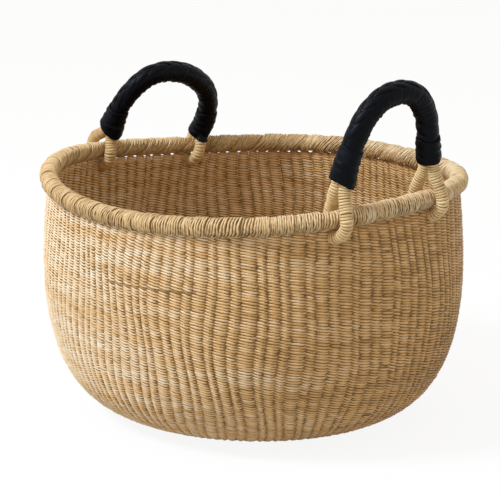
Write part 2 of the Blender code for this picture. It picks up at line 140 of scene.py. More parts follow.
def linear(hex_color):
    """Turns an sRGB hex colour into the linear one that Blender works in."""
    shares = [int(hex_color[place:place + 2], 16) / 255 for place in (0, 2, 4)]
    return [share / 12.92 if share <= 0.04045 else ((share + 0.055) / 1.055) ** 2.4 for share in shares] + [1]


def color_property(name, hex_color, description):
    """Colour that a user may change."""
    return FloatVectorProperty(name=name, description=description, subtype="COLOR", size=4, min=0, max=1,
                               default=linear(hex_color))


def length_property(name, length, description):
    """Length in metres that a user may change."""
    return FloatProperty(name=name, description=description, default=length, min=0, unit="LENGTH",
                         precision=5)


class WeaveSettings(bpy.types.PropertyGroup):
    """Sizes of the twined wall and base."""
    stakes: IntProperty(name="Stakes", description="Stakes that reach the rim", default=STAKES, min=8)
    row_pitch: length_property("Row pitch", 3.15 * MM, "Height of one twined row")
    straw_thickness: length_property("Straw thickness", 1.6 * MM, "Thickness of a weft straw")
    rib_depth: length_property("Rib depth", 2.4 * MM, "How far a weft straw stands off the stakes' line")
    slant: length_property("Slant", 1.0 * MM, "How far a stitch falls on either side of its middle")
    stake_radius: length_property("Stake radius", 1.2 * MM, "Radius of a stake")


class RimSettings(bpy.types.PropertyGroup):
    """Sizes of the rim's binding."""
    bundles: IntProperty(name="Bundles", description="Turns of the band of straws round the rim", default=48,
                         min=4)
    straws: IntProperty(name="Straws", description="Straws side by side in the band", default=11, min=1)
    straw_width: length_property("Straw width", 2.5 * MM, "Width of a binding straw")
    straw_thickness: length_property("Straw thickness", 1.9 * MM, "Thickness of a binding straw")
    hidden_lean: length_property("Hidden lean", 5.2 * MM, "How far the straws move on behind the rim")


class HandleSettings(bpy.types.PropertyGroup):
    """Sizes of the handles' windings and leather."""
    wrap_pitch: length_property("Wrap pitch", 3.2 * MM, "Distance between turns of straw round a leg")
    wrap_thickness: length_property("Wrap thickness", 1.8 * MM, "Thickness of the straw round a leg")
    plait_length: length_property("Plait length", 16 * MM, "Length of one lobe of the leather lacing")
    pucker_length: length_property("Pucker length", 15 * MM, "Distance between bulges under the grip")


class FinishSettings(bpy.types.PropertyGroup):
    """Colours of the straw and leather."""
    # The pale colours also take painted light and the dark ones painted shade, beside bleached and stained
    # straw
    straw_pale: color_property("Pale straw", "F4EBD3", "Sun-bleached faces of the weft")
    straw_middle: color_property("Straw", "DDB174", "Most of the weft")
    straw_dark: color_property("Dark straw", "876432", "Stained and knotty parts of the weft")
    binding_pale: color_property("Pale binding", "F4ECD8", "Bleached faces of the rim's binding")
    binding_middle: color_property("Binding", "DCBD8B", "Most of the rim's binding")
    binding_dark: color_property("Dark binding", "B38B52", "Stained parts of the rim's binding")
    wrap_pale: color_property("Pale wrap", "F0DCAA", "Bleached faces of the straw round the legs")
    wrap_middle: color_property("Wrap", "DCBC86", "Most of the straw round the legs")
    wrap_dark: color_property("Dark wrap", "B08A55", "Stained parts of the straw round the legs")
    leather: color_property("Leather", "030306", "Dyed and polished leather")


class StageSettings(bpy.types.PropertyGroup):
    """Camera and light."""
    lens: FloatProperty(name="Lens", description="Focal length", default=170.7, min=1, unit="CAMERA")
    key_power: FloatProperty(name="Key power", description="Strength of the large lamp", default=97, min=0,
                             unit="POWER")
    sky_strength: FloatProperty(name="Sky strength", description="Strength of the light from all sides",
                                default=0.63, min=0)


# Shapes

def oval_reach(angle, half_length, half_width, squareness):
    """Distance from the centre to an oval's edge in the direction of an angle."""
    across = np.abs(np.cos(angle) / half_length) ** squareness
    along = np.abs(np.sin(angle) / half_width) ** squareness
    return (across + along) ** (-1 / squareness)


def rim_top(angle):
    """Height of the rim's centre at an angle round the basket."""
    wave = sum(cosine * np.cos(turns * angle) + sine * np.sin(turns * angle)
               for turns, (cosine, sine) in RIM_WAVE_SHARES.items())
    return RIM_HEIGHT + RIM_WAVE * wave


def rim_point(angle):
    """Centre of the rim's section at an angle round the basket."""
    reach = oval_reach(angle, RIM_HALF_LENGTH, RIM_HALF_WIDTH, RIM_SQUARENESS)
    return np.stack([reach * np.cos(angle), reach * np.sin(angle), rim_top(angle)], -1)


def unit(vectors):
    """Vectors of length one."""
    return vectors / np.linalg.norm(vectors, axis=-1, keepdims=True)


def rim_outward(angle):
    """Level direction that points straight out of the rim."""
    point = rim_point(angle)
    power = RIM_SQUARENESS - 1
    across = np.sign(point[..., 0]) * np.abs(point[..., 0] / RIM_HALF_LENGTH) ** power / RIM_HALF_LENGTH
    along = np.sign(point[..., 1]) * np.abs(point[..., 1] / RIM_HALF_WIDTH) ** power / RIM_HALF_WIDTH
    return unit(np.stack([across, along, np.zeros_like(across)], -1))


def wander(place, seed, waves, repeat=math.tau):
    """Smooth unevenness between about -1 and 1 that repeats after a distance."""
    random = np.random.default_rng(seed)
    total = 0
    for wave, phase in zip(waves, random.uniform(0, math.tau, len(waves))):
        total = total + np.sin(math.tau * wave * place / repeat + phase)
    return total / math.sqrt(len(waves))


def weave_profile():
    """Middle of the weave from the base's centre to the rim's centre, with the direction out of its face."""
    top_share = (RIM_RADIUS + LIGHT_GAP) / RIM_HEIGHT
    first = math.asin(top_share ** (BELLY_ROUNDNESS / 2))
    share = np.sin(np.linspace(math.pi / 2, first, WALL_POINTS)) ** (2 / BELLY_ROUNDNESS)
    fullness = (1 - share ** BELLY_ROUNDNESS) ** (1 / BELLY_ROUNDNESS)
    lowest = BASE_HALF_LENGTH + REST_WIDTH
    widest = RIM_HALF_LENGTH + BELLY_SWELL
    outside = lowest + (widest - lowest) * fullness - TOP_DRAW_IN * (1 - share)
    flat = np.linspace(0, lowest, BASE_POINTS)[:-1]
    half_length = np.concatenate([flat, outside])
    height = np.concatenate([np.zeros_like(flat), (1 - share) * RIM_HEIGHT])
    slope = unit(np.stack([np.gradient(half_length), np.gradient(height)], -1))
    depth = WALL_THICKNESS / 2
    half_length = half_length - depth * slope[:, 1]
    height = height + depth * slope[:, 0]
    wall_end = len(height)
    half_length = np.append(half_length, [RIM_HALF_LENGTH] * 2)
    height = np.append(height, [RIM_HEIGHT - RIM_RADIUS, RIM_HEIGHT])
    slope = np.concatenate([slope, [[0, 1], [0, 1]]])
    travelled = np.concatenate([[0], np.cumsum(np.hypot(np.diff(half_length), np.diff(height)))])
    return travelled, half_length, height, slope, travelled[wall_end - 1]


PROFILE_PLACE, PROFILE_LENGTH, PROFILE_HEIGHT, PROFILE_SLOPE, WALL_TOP = weave_profile()


def weave_point(angle, place, lift):
    """Point of the weave at a distance from the base's centre, lifted off its middle."""
    half_length, height, inward, upward = (
        np.interp(place, PROFILE_PLACE, values)
        for values in (PROFILE_LENGTH, PROFILE_HEIGHT, PROFILE_SLOPE[:, 0], PROFILE_SLOPE[:, 1]))
    half_length = np.maximum(half_length + lift * upward, MM / 10)
    height = height - lift * inward
    share = np.clip(1 - height / RIM_HEIGHT, 0, 1)
    squareness = RIM_SQUARENESS + (BASE_SQUARENESS - RIM_SQUARENESS) * share
    reach = oval_reach(angle, half_length, half_length * RIM_HALF_WIDTH / RIM_HALF_LENGTH, squareness)
    return np.stack([reach * np.cos(angle), reach * np.sin(angle), height * rim_top(angle) / RIM_HEIGHT], -1)


def place_at_length(half_length):
    """Distance along the weave at which its oval has a given half length."""
    rising = PROFILE_LENGTH[:np.argmax(PROFILE_LENGTH)]
    return float(np.interp(half_length, rising, PROFILE_PLACE[:len(rising)]))


def tube(bm, along, around, shape):
    """Adds a tube to a bmesh. shape gives its points, its own map and its painted light and shade, with
    stains.
    """
    piece = bmesh.new()
    bmesh.ops.create_grid(piece, x_segments=along, y_segments=around, size=1)
    mesh = bpy.data.meshes.new("tube")
    piece.to_mesh(mesh)
    piece.free()
    corners = np.empty(len(mesh.vertices) * 3, np.float32)
    mesh.vertices.foreach_get("co", corners)
    corners = corners.reshape(-1, 3)
    length_share = np.rint((corners[:, 0] + 1) / 2 * along) / along
    turn_share = np.rint((corners[:, 1] + 1) / 2 * around) / around
    points, straw_map, *light_and_stain = shape(length_share, turn_share)
    mesh.vertices.foreach_set("co", points.astype(np.float32).ravel())
    own_map = mesh.uv_layers.new(name="Straw")
    corner_of = np.empty(len(mesh.loops), np.int32)
    mesh.loops.foreach_get("vertex_index", corner_of)
    own_map.data.foreach_set("uv", straw_map[corner_of].astype(np.float32).ravel())
    values = light_and_stain[0] if light_and_stain else np.ones(len(points))
    painted_layer = mesh.attributes.new(name="Openness", type="FLOAT", domain="POINT")
    painted_layer.data.foreach_set("value", values.astype(np.float32))
    bm.from_mesh(mesh)
    bpy.data.meshes.remove(mesh)


def finished_piece(name, bm, material, body, nodes):
    """Closes the tubes of a bmesh and makes them a piece that rides on a body in place of its solids."""
    bmesh.ops.remove_doubles(bm, verts=bm.verts, dist=MM / 1000)
    bmesh.ops.recalc_face_normals(bm, faces=bm.faces)
    mesh = bpy.data.meshes.new(name)
    bm.to_mesh(mesh)
    bm.free()
    mesh.shade_smooth()
    mesh.materials.append(material)
    piece = bpy.data.objects.new(name, mesh)
    bpy.context.scene.collection.objects.link(piece)
    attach(piece, body)
    if nodes:
        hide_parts(*nodes)
    return piece


def pinched(share, end_share):
    """1 along a straw, falling to 0 at its two ends."""
    return np.clip(np.minimum(share, 1 - share) / end_share, 0, 1) ** 0.5


# Weave

def column_angle(stake, stakes, place):
    """Angle of a place among the stakes, whose columns are wide and narrow by turns and wander a little."""
    angle = math.tau * stake / stakes
    uneven = 0.25 * wander(angle + 6 * place, 4, (4, 7)) + 0.10 * wander(angle, 3, (19, 31))
    if stakes == STAKES:
        uneven = uneven + 0.04 * (1 + wander(angle, 2, (1, 2, 5))) * np.sin(math.pi * stake)
    return angle + uneven * math.tau / STAKES


def stretched(place, angle, row_pitch):
    """Distance along the weave after its rows spread to end near the rim, and right under it on one side."""
    # Share of the light gap that the last row fills, from the open side to the one across from it
    away = np.abs(np.sin((angle - OPEN_SIDE) / 2))
    closeness = np.minimum(0.74 + 2.86 * away ** 2.9, 1.35) + 0.07 * wander(angle, 8, (9, 16, 27, 41))
    last_row = (int(WALL_TOP / row_pitch) - 0.1) * row_pitch
    return place * (WALL_TOP + LIGHT_GAP * closeness) / last_row


def stake_bands(weave):
    """Bands of the weave: their count of stakes, which grows with the oval, start and points per stitch."""
    counts = (weave.stakes // 8 + 1, weave.stakes // 4, weave.stakes // 2, weave.stakes)
    half_lengths = (4 * MM, 35 * MM, 70 * MM, 165 * MM)
    return [(count, place_at_length(half_length), points)
            for count, half_length, points in zip(counts, half_lengths, (8, 8, 6, 4))]


def weft(weave, first_row, rows, stakes, second):
    """One of the two straws that twine round the stakes, from a row upwards."""
    random = np.random.default_rng(first_row * 2 + second)
    bulges, falls, rises, holes = random.standard_normal((4, rows + 2, stakes))

    def shape(length_share, turn_share):
        rounds = length_share * rows
        stake = stakes * rounds
        column = np.rint(stake).astype(int)
        row_of = column // stakes
        column = column % stakes
        phase = math.pi * (stake + second)
        front = np.cos(phase)
        turn = math.tau * turn_share
        fine = pinched(length_share, 1 / (stakes * rows))
        # Half way between two stakes the straw leaves a hole, now and then a wide one
        crossing = (rounds * stakes).astype(int)
        hole = holes[crossing // stakes, crossing % stakes]
        height = weave.row_pitch * (0.52 - 0.08 * hole * (1 - front ** 2) + 0.50 * front ** 2) * fine
        thickness = weave.straw_thickness * (0.8 + 0.2 * front ** 2) * fine
        place = weave.row_pitch * (first_row + rounds)
        place = place + ROW_WANDER * wander(math.tau * rounds, 5, (3, 7, 13)) * np.sin(first_row + rounds)
        place = place + STITCH_WANDER * rises[row_of, column] * front ** 2
        angle = column_angle(stake, stakes, place)
        steepness = 1 + 0.25 * np.cos(angle - STEEP_SIDE) + 0.15 * falls[row_of, column] * front ** 2
        place = place - weave.slant * steepness * np.sin(phase)
        lift = weave.rib_depth * np.sign(front) * np.abs(front) ** 0.7
        lift = lift * (0.80 + 0.20 * np.cos(column_angle(stake, stakes, place) - STEEP_SIDE))
        lift = lift * (1 + 0.10 * np.clip(bulges[row_of, column], -2, 2) * front ** 2)
        lift = lift * np.interp(place, (SHALLOW_PLACE, DEEP_PLACE), (0.8, 1)) * np.where(front < 0, 0.75, 1)
        lift = lift + thickness / 2 * np.cos(turn)
        place = place + height / 2 * np.sin(turn)
        points = weave_point(angle, stretched(place, angle, weave.row_pitch), lift)
        straw_map = np.stack([1.5 * (first_row + rounds), SPLIT_GIRTH * (turn_share + 1.7 * second)], -1)
        # Painted shade: the straw is painted darker where it dives between the stakes, darkest at the wide
        # holes
        light_and_stain = np.abs(front) + (1 - np.abs(front)) * np.clip(0.35 - 0.45 * hole, -0.5, 1)
        # A brown straw crosses one stretch of the front
        brown = np.abs(rounds % 1 - BROWN_MIDDLE) < BROWN_SHARE / 2
        brown = brown & (np.floor(first_row + rounds) == BROWN_ROW)
        return points, straw_map, np.where(brown, 0.2 * light_and_stain - 0.3, light_and_stain)
    return shape


class BASKET_OT_weave(bpy.types.Operator):
    """Twine the wall and the base round their stakes"""
    bl_idname = "basket.weave"
    bl_label = "Wall and base"

    def execute(self, context):
        weave = context.scene.basket_weave
        finish = context.scene.basket_finish
        straw = straw_material("Split elephant grass, weft", straw_colors(finish, "straw"))
        bands = stake_bands(weave)
        starts = [round(bottom / weave.row_pitch) for _, bottom, _ in bands]
        stops = starts[1:] + [int(WALL_TOP / weave.row_pitch)]
        base_rows = round(place_at_length(BASE_HALF_LENGTH) / weave.row_pitch)
        base = bmesh.new()
        number = 0
        for (count, _, steps), start, stop in zip(bands, starts, stops):
            # A row has two straws, and each face of theirs two triangles
            row_triangles = 2 * 2 * count * steps * STRAW_SIDES
            while start < stop:
                rows = min(stop - start, max(1, PIECE_TRIANGLES // row_triangles))
                if start < base_rows:
                    rows = min(rows, base_rows - start)
                band = base if start < base_rows else bmesh.new()
                for second in (0, 1):
                    tube(band, count * rows * steps, STRAW_SIDES, weft(weave, start, rows, count, second))
                if start >= base_rows:
                    number += 1
                    finished_piece(f"wall_weft_{number}", band, straw, "basket",
                                   ["wall_weave"] if number == 1 else [])
                start += rows
        # A flat knot closes the middle, where the stakes cross
        knot = Matrix.Translation((0, 0, WALL_THICKNESS / 2)) @ Matrix.Diagonal((1, 1, 0.5, 1))
        bmesh.ops.create_uvsphere(base, u_segments=16, v_segments=8, radius=6 * MM, matrix=knot)
        finished_piece("base_weft", base, straw, "basket", ["base_weave"])
        return {"FINISHED"}


class BASKET_OT_stakes(bpy.types.Operator):
    """Set the stakes, which cross the light gap from the wall to the rim"""
    bl_idname = "basket.stakes"
    bl_label = "Stakes"

    def execute(self, context):
        weave = context.scene.basket_weave
        finish = context.scene.basket_finish
        straw = straw_material("Whole elephant grass, stakes", bundle_and_shade_colors(finish))
        stakes = bmesh.new()
        bands = stake_bands(weave)
        tops = [bottom for _, bottom, _ in bands[1:]] + [PROFILE_PLACE[-1] - RIM_RADIUS * 0.6]
        for (count, bottom, _), top in zip(bands, tops):
            for stake in range(count):
                def shape(length_share, turn_share, stake=stake, count=count, bottom=bottom, top=top):
                    # Each band's stakes run on behind the next band's first row
                    end = top + (weave.row_pitch if count < weave.stakes else 0)
                    place = bottom - weave.row_pitch + (end - bottom + weave.row_pitch) * length_share
                    turn = math.tau * turn_share
                    fine = pinched(length_share, 0.01)
                    # The bundle of straws in a stake spreads between the rows and draws together above them
                    spread = np.interp(place, (WALL_TOP - 4 * MM, WALL_TOP + 2 * MM), (0.53, 0.39))
                    angle = column_angle(stake + spread * fine * np.sin(turn), count, place)
                    points = weave_point(angle, place, weave.stake_radius * fine * np.cos(turn))
                    # Painted shade: a stake is painted darker below the wall's top, where the weave hides it
                    light_and_stain = np.interp(place, (WALL_TOP - 3 * MM, WALL_TOP), (0, 1))
                    return points, np.stack([place + stake * 0.5, STAKE_GIRTH * turn_share], -1), light_and_stain
                # The stakes that reach the rim are by far the longest
                tube(stakes, 60 if count == weave.stakes else 16, STAKE_SIDES, shape)
        finished_piece("stakes", stakes, straw, "basket", [])
        return {"FINISHED"}


# Rim

def line_places(points):
    """Distance of each point along a line of points."""
    return np.concatenate([[0], np.cumsum(np.linalg.norm(np.diff(points, axis=0), axis=1))])


# Turn of the rim's section at which the binding's straws run straightest
STRAIGHT_TURN = math.radians(45)
RIM_ANGLES = np.linspace(0, math.tau, 2001)
RIM_PLACES = line_places(rim_point(RIM_ANGLES))
RIM_LENGTH = RIM_PLACES[-1]

# Points per turn of a straw round the rim
BAND_STEPS = 36
# The band of straws round the rim: where its first turn starts, how deep it is sunk, how high its middle
# stands and its last straw over its first, and how far its straws and its turns rise, drift and wander
FIRST_TURN_SHARE = 0.62
BAND_DEPTH = 0.4 * MM
BAND_CROWN = 0.5 * MM
BAND_TILT = 1.1 * MM
STRAW_RISE = 0.3 * MM
TURN_RISE = 0.25 * MM
STRAW_DRIFT = 0.35 * MM
TURN_DRIFT = 2.5 * MM
BAND_WANDER = 2.2 * MM
# How deep the handles' loops have pressed the binding in, and how far along the rim
LOOP_PRESS = 1.3 * MM
LOOP_PRESS_REACH = 13 * MM


def rim_place(point):
    """Distance along the rim of a point of its centre."""
    return float(np.interp(math.atan2(point[1], point[0]) % math.tau, RIM_ANGLES, RIM_PLACES))


def rim_surface(place, turn, radius):
    """Point on a round section of the rim, where turn 0 faces outwards and a quarter turn faces up."""
    angle = np.interp(place % RIM_LENGTH, RIM_PLACES, RIM_ANGLES)
    points = rim_point(angle) + rim_outward(angle) * (radius * np.cos(turn))[:, None]
    points[:, 2] += radius * np.sin(turn)
    return points


class BASKET_OT_rim(bpy.types.Operator):
    """Bind the rim's core with bands of straw"""
    bl_idname = "basket.rim"
    bl_label = "Rim"

    def execute(self, context):
        rim = context.scene.basket_rim
        finish = context.scene.basket_finish
        # A negative share paints the binding darker towards the lamp's side, as painted shade
        straw = straw_material("Split elephant grass, rim binding", straw_colors(finish, "binding"), -0.7)
        dark_straw = straw_material("Elephant grass bundle, rim core", bundle_and_shade_colors(finish))

        def core_shape(length_share, turn_share):
            place = RIM_LENGTH * length_share
            radius = RIM_RADIUS - rim.straw_thickness - 0.1 * MM + 0 * place
            points = rim_surface(place, math.tau * turn_share, radius)
            # Painted shade: the core, which shows only in gaps, is painted dark
            return points, np.stack([place, CORE_GIRTH * turn_share], -1), 0.2 + 0 * place
        core = bmesh.new()
        tube(core, 4 * rim.bundles, 20, core_shape)
        finished_piece("rim_straw_core", core, dark_straw, "basket", ["rim_core"])

        binding = bmesh.new()
        random = np.random.default_rng(21)
        # Each straw drifts sideways, swells, thins and rides over or under its neighbours ten times a turn
        drifts, swells, rises = random.standard_normal((3, rim.straws, 10 * rim.bundles))
        turn_drifts, turn_rises, turn_tones = random.standard_normal((3, rim.bundles))
        feet = [rim_place(HandleShape(handle).foot_middle(leg))
                for handle in (RIGHT_HANDLE, LEFT_HANDLE) for leg in (-1, 1)]
        for straw_number in range(rim.straws):
            def shape(length_share, turn_share, number=straw_number):
                rounds = rim.bundles * length_share
                turn = math.tau * (rounds + FIRST_TURN_SHARE)
                around = math.tau * turn_share
                share = (number + 0.5) / rim.straws

                def uneven(values, ahead=0):
                    return np.interp((rounds + ahead) % rim.bundles * len(values) / rim.bundles,
                                     np.arange(len(values) + 1), np.append(values, values[0]))
                radius = RIM_RADIUS - rim.straw_thickness / 2 - BAND_DEPTH
                radius = radius + BAND_CROWN * math.sin(math.pi * share) + BAND_TILT * (share - 0.5)
                radius = radius + STRAW_RISE * uneven(rises[number])
                radius = radius + TURN_RISE * np.clip(uneven(turn_rises), -2, 1.5)
                place = RIM_LENGTH / rim.bundles * (rounds + share)
                # The straws run nearly straight over the rim's outside and move on where it hides them
                seen_turn = turn - STRAIGHT_TURN
                place = place - rim.hidden_lean * (np.sin(seen_turn) - np.sin(3 * seen_turn) / 9)
                place = place + BAND_WANDER * wander(math.tau * place / RIM_LENGTH, 9, (5, 9, 14, 23))
                place = place + STRAW_DRIFT * uneven(drifts[number]) + TURN_DRIFT * uneven(turn_drifts, share)
                # The handles' loops have pressed the binding in
                for foot in feet:
                    apart = (place - foot + RIM_LENGTH / 2) % RIM_LENGTH - RIM_LENGTH / 2
                    radius = radius - LOOP_PRESS * np.exp(-(apart / LOOP_PRESS_REACH) ** 2)
                # Twisted straws touch and part again nine times a turn, which leaves short slits between them
                slit = 0.5 + 0.5 * np.sin(9 * turn + 2.4 * number + 1.5 * uneven(swells[number]))
                width = rim.straw_width * (1.08 + 0.10 * uneven(swells[number]) - 0.22 * slit)
                points = rim_surface(place + width / 2 * np.sin(around), turn,
                                     radius + rim.straw_thickness / 2 * np.cos(around))
                # Painted light and shade: the rim's top is painted palest, a turn's higher last straws paler,
                # and each turn's first straw, deep beside the turn before, darker; each turn also has a tone
                # of its own
                light_and_stain = (0.62 + 0.36 * np.sin(turn)) * (0.6 if number == 0 else 1)
                light_and_stain = light_and_stain + 0.10 * uneven(turn_tones) + 0.24 * (share - 0.5)
                # Painted shade darkens each straw's edges, most at the slits
                light_and_stain = light_and_stain - (0.1 + 0.75 * slit) * np.sin(around) ** 4
                return points, np.stack([0.068 * rounds + 3 * number, SPLIT_GIRTH * turn_share], -1), light_and_stain
            tube(binding, rim.bundles * BAND_STEPS, STRAW_SIDES, shape)
        finished_piece("rim_binding_straws", binding, straw, "basket", ["rim_binding"])
        return {"FINISHED"}


# Handles

def smooth_path(points, steps=24):
    """Dense points of a smooth curve through the given ones."""
    ends = np.array([2 * points[0] - points[1], *points, 2 * points[-1] - points[-2]])
    t = np.linspace(0, 1, steps, endpoint=False)[:, None]
    parts = []
    for before, start, stop, after in zip(ends, ends[1:], ends[2:], ends[3:]):
        square = 2 * before - 5 * start + 4 * stop - after
        cube = 3 * start - before - 3 * stop + after
        parts.append(0.5 * (2 * start + (stop - before) * t + square * t ** 2 + cube * t ** 3))
    return np.concatenate(parts + [points[-1:]])


def foot_point(side, y):
    """Point of the rim's centre at a given y, on the right side (1) or the left one (-1)."""
    x = side * RIM_HALF_LENGTH * (1 - abs(y / RIM_HALF_WIDTH) ** RIM_SQUARENESS) ** (1 / RIM_SQUARENESS)
    return rim_point(np.array(math.atan2(y, x)))


class HandleShape:
    """Lines and surfaces of one handle, in its own frame: X outward, Y along its hinge and Z up its arch."""

    def __init__(self, handle):
        self.handle = handle
        self.body = "right_handle" if handle.side > 0 else "left_handle"
        first, last = self.foot_middle(-1), self.foot_middle(1)
        along = unit(last - first)
        outward = unit(np.cross(along, (0, 0, 1)))
        upward = np.cross(outward, along)
        lean = np.array(Matrix.Rotation(handle.lean, 3, "Y"))
        self.axes = np.stack([outward, along, upward], 1) @ lean
        self.origin = (first + last) / 2
        self.half_spacing = np.linalg.norm(last - first) / 2
        self.arch = smooth_path(np.array([(0, across * self.half_spacing, up * handle.height)
                                          for across, up in handle.arch_shares]))
        self.top = int(np.argmax(self.arch[:, 2]))

    def world(self, points):
        """Points of the handle's own frame in the basket's."""
        return points @ self.axes.T + self.origin

    def foot_middle(self, leg):
        """Point of the rim's centre that a foot hangs on."""
        handle = self.handle
        return foot_point(handle.side, handle.middle + leg * handle.side * handle.half_spacing)

    def foot(self, leg):
        """Foot of the first leg (-1) or the last (1)."""
        return self.handle.feet[leg > 0]

    def leg_name(self, leg):
        """Whether a leg is its handle's front or back one."""
        return ("front", "back")[(leg > 0) == (self.handle.side > 0)]

    def wrap_end(self, leg):
        """Height at which the straw round a leg ends, inside the cuff."""
        return self.foot(leg).mouth + self.foot(leg).rise + 6 * MM

    def leg_lean(self, leg):
        """Angle above the hinge's level at which a leg leaves the loop."""
        mouth = self.foot(leg).mouth
        half_pair = LEG_RADIUS + FIT_GAP / 2
        return math.atan2(mouth, half_pair) - math.acos(LOOP_RADIUS / math.hypot(half_pair, mouth))

    def strand_offset(self, height, leg):
        """Distance of a leg or strand from the arch's plane, at a height above the hinge."""
        mouth = self.foot(leg).mouth
        lean = self.leg_lean(leg)
        half_pair = LEG_RADIUS + FIT_GAP / 2
        start_offset, start_height = LOOP_RADIUS * math.cos(lean), LOOP_RADIUS * math.sin(lean)
        t = np.clip((height - start_height) / (mouth - start_height), 0, 1)
        drop = math.tan(lean) * (mouth - start_height)
        low = (start_offset * (2 * t ** 3 - 3 * t ** 2 + 1) + half_pair * (3 * t ** 2 - 2 * t ** 3)
               - drop * (t ** 3 - 2 * t ** 2 + t))
        settled = ROPE_RADIUS + FIT_GAP / 2
        t = np.clip((height - mouth - WRAP_TUCK) / ROPE_SETTLE, 0, 1)
        high = half_pair + (settled - half_pair) * (3 * t ** 2 - 2 * t ** 3)
        return np.where(height < mouth, low, high)

    def leg_middle(self, height, leg):
        """Y of the arch at a height on one leg."""
        side = self.arch[:self.top + 1] if leg < 0 else self.arch[self.top:][::-1]
        return np.interp(height, side[:, 2], side[:, 1])

    def foot_line(self, leg):
        """Points of the rope of one foot, from the outer leg round the loop to the inner leg."""
        lean = self.leg_lean(leg)
        heights = np.linspace(self.wrap_end(leg), LOOP_RADIUS * math.sin(lean), FOOT_POINTS)[:-1]
        outer = np.stack([self.strand_offset(heights, leg), self.leg_middle(heights, leg), heights], -1)
        inner = outer[::-1] * (-1, 1, 1)
        turns = np.linspace(lean, -math.pi - lean, FOOT_POINTS)
        loop = np.stack([LOOP_RADIUS * np.cos(turns), 0 * turns, LOOP_RADIUS * np.sin(turns)], -1)
        loop[:, 1] = self.leg_middle(loop[:, 2].clip(0), leg)
        points = np.concatenate([outer, loop, inner])
        # The skew fades where the leg joins its twin in the cuff and towards the loop's bottom
        apart = points[:, 0] / LOOP_RADIUS
        joined = (LEG_RADIUS + FIT_GAP) / LOOP_RADIUS
        fade = np.clip((np.abs(apart) - joined) / (1 - joined), 0, 1)
        fade = fade ** 2 * (3 - 2 * fade)
        above = points[:, 2] > 0
        outer_share = np.where(above, (apart > 0) * fade, np.clip(apart, 0, 1) ** 2)
        inner_share = np.where(above, (apart < 0) * fade, np.clip(-apart, 0, 1) ** 2)
        low_share = np.where(above, 0, np.clip(-points[:, 2] / LOOP_RADIUS, 0, 1) ** 2)
        foot = self.foot(leg)
        points[:, 1] += outer_share * foot.outer_skew + inner_share * foot.inner_skew
        points[:, 1] += low_share * foot.low_skew
        return points

    def grip_line(self, lows):
        """Points of the arch between a height on its first leg and one on its last."""
        first = np.argmax(self.arch[:, 2] >= lows[0])
        last = len(self.arch) - 1 - np.argmax(self.arch[::-1, 2] >= lows[1])
        return self.arch[first:last + 1]

    def grip_radius(self, share):
        """Radius of the grip at a share of its length."""
        return self.handle.radius - GRIP_TAPER * (2 * share - 1) ** 2

    def add_piece(self, name, bm, material, slot, nodes):
        """Makes the tubes of a bmesh a finished piece of the handle."""
        finished_piece(f"{self.body}_{name}", bm, material, self.body,
                       [f"{self.body}_{node}" for node in nodes])


class Line:
    """Line of points with a frame at each distance along it."""

    def __init__(self, points, side=(0, 1, 0)):
        self.points = points
        self.places = line_places(points)
        self.length = self.places[-1]
        self.forward = unit(np.gradient(points, self.places, axis=0))
        side = np.array(side) + 0 * points
        side = side - self.forward * (side * self.forward).sum(-1, keepdims=True)
        self.side = unit(side)
        self.out = np.cross(self.side, self.forward)

    def surface(self, place, turn, radius):
        """Point at a distance along the line and a radius from it, where turn 0 faces the line's out side."""
        def at(values):
            return np.stack([np.interp(place, self.places, values[:, axis]) for axis in range(3)], -1)
        return (at(self.points) + at(self.out) * (radius * np.cos(turn))[:, None]
                + at(self.side) * (radius * np.sin(turn))[:, None])


# Points per turn and sides of the straw wound round a leg
WRAP_STEPS = 16
WRAP_SIDES = 6
# How far the rope reaches up into the straw wound round it
ROPE_BITE = 0.2 * MM


def add_winding(bm, shape, line, radius, pitch, width, thickness, seed):
    """Adds a straw wound round a line."""
    turns = int(line.length / pitch) - 1
    drifts, swells, rises = np.random.default_rng(seed).standard_normal((3, turns + 2))

    def strand(length_share, turn_share):
        rounds = turns * length_share
        number = rounds.astype(int)
        weight = np.sin(math.pi * (rounds % 1)) ** 2
        around = math.tau * turn_share
        fine = pinched(length_share, 0.5 / turns)
        place = pitch * (0.5 + rounds) + 0.06 * pitch * drifts[number] * weight
        wide = width * (1 + 0.08 * swells[number] * weight) * fine
        lift = radius + 0.18 * thickness * rises[number] * weight
        points = line.surface(np.clip(place + wide / 2 * np.sin(around), 0, line.length), math.tau * rounds,
                              lift + thickness / 2 * fine * np.cos(around))
        return shape.world(points), np.stack([0.05 * rounds + seed, SPLIT_GIRTH * turn_share], -1)
    tube(bm, turns * WRAP_STEPS, WRAP_SIDES, strand)


def add_rope(bm, shape, line, radius, along, around, painted_light_share):
    """Adds a plain straw rope along a line."""
    def strand(length_share, turn_share):
        place = line.length * length_share
        points = line.surface(place, math.tau * turn_share, radius * pinched(length_share, 0.01))
        return shape.world(points), np.stack([place, ROPE_GIRTH * turn_share], -1), painted_light_share + 0 * place
    tube(bm, along, around, strand)


